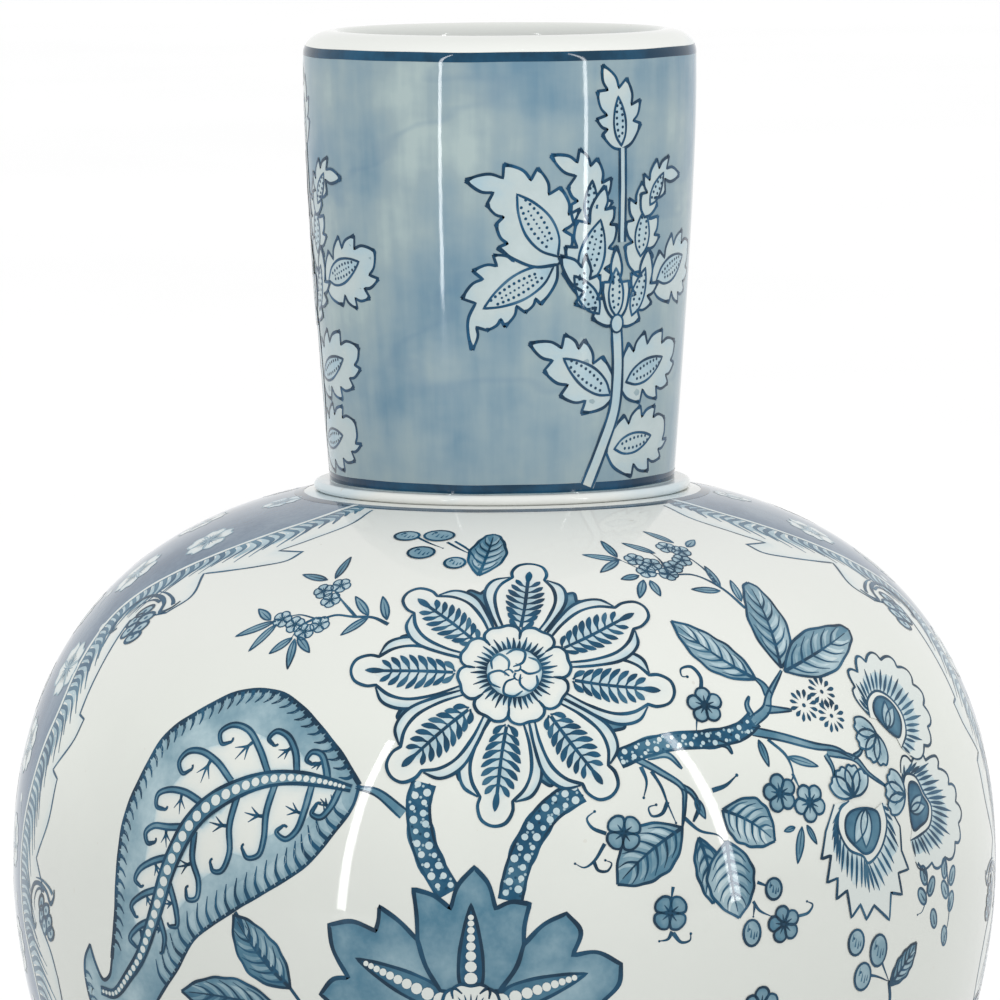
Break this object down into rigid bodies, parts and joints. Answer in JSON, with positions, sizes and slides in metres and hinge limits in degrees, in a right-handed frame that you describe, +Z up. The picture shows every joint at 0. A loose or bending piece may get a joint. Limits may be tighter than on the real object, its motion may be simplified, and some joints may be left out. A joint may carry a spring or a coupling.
{
  "type": "painted pottery vase",
  "caption": "Round-bellied glazed vase with a tall flared neck, a rolled lip and a turned foot ring, painted in blue underglaze flowers and leaves; holds stems and water.",
  "frame": {"origin": "middle of the flat face of the foot ring that the vase stands on", "axes": "+Z up along the vase's axis to the mouth; -Y faces the front painted panel"},
  "size_m": [0.255, 0.255, 0.3344],
  "materials": {
    "glazed_clay": "off-white fired clay under a clear gloss glaze",
    "washed_neck": "pale grey-blue cobalt wash, brushed on and mottled, under a clear gloss glaze",
    "cobalt_line": "dark cobalt brush line under a clear gloss glaze",
    "cobalt_wash": "thinned cobalt wash under a clear gloss glaze",
    "panel_ground": "dense grey-navy cobalt ground under a clear gloss glaze",
    "joining_slip": "fired slip wiped along the inner seams, thinly glazed",
    "bare_clay": "unglazed fired clay with fine wheel-turned lines"
  },
  "bodies": {
    "root": {"foot_ring": "bare_clay", "base_disc": "glazed_clay", "base_joint_slip": "joining_slip", "lower_wall": "glazed_clay", "belly_joint_slip": "joining_slip", "upper_wall": "glazed_clay", "neck_joint_slip": "joining_slip", "collar_ring": "glazed_clay", "neck_tube": "washed_neck", "rim_lip": "glazed_clay"}
  },
  "joints": []
}
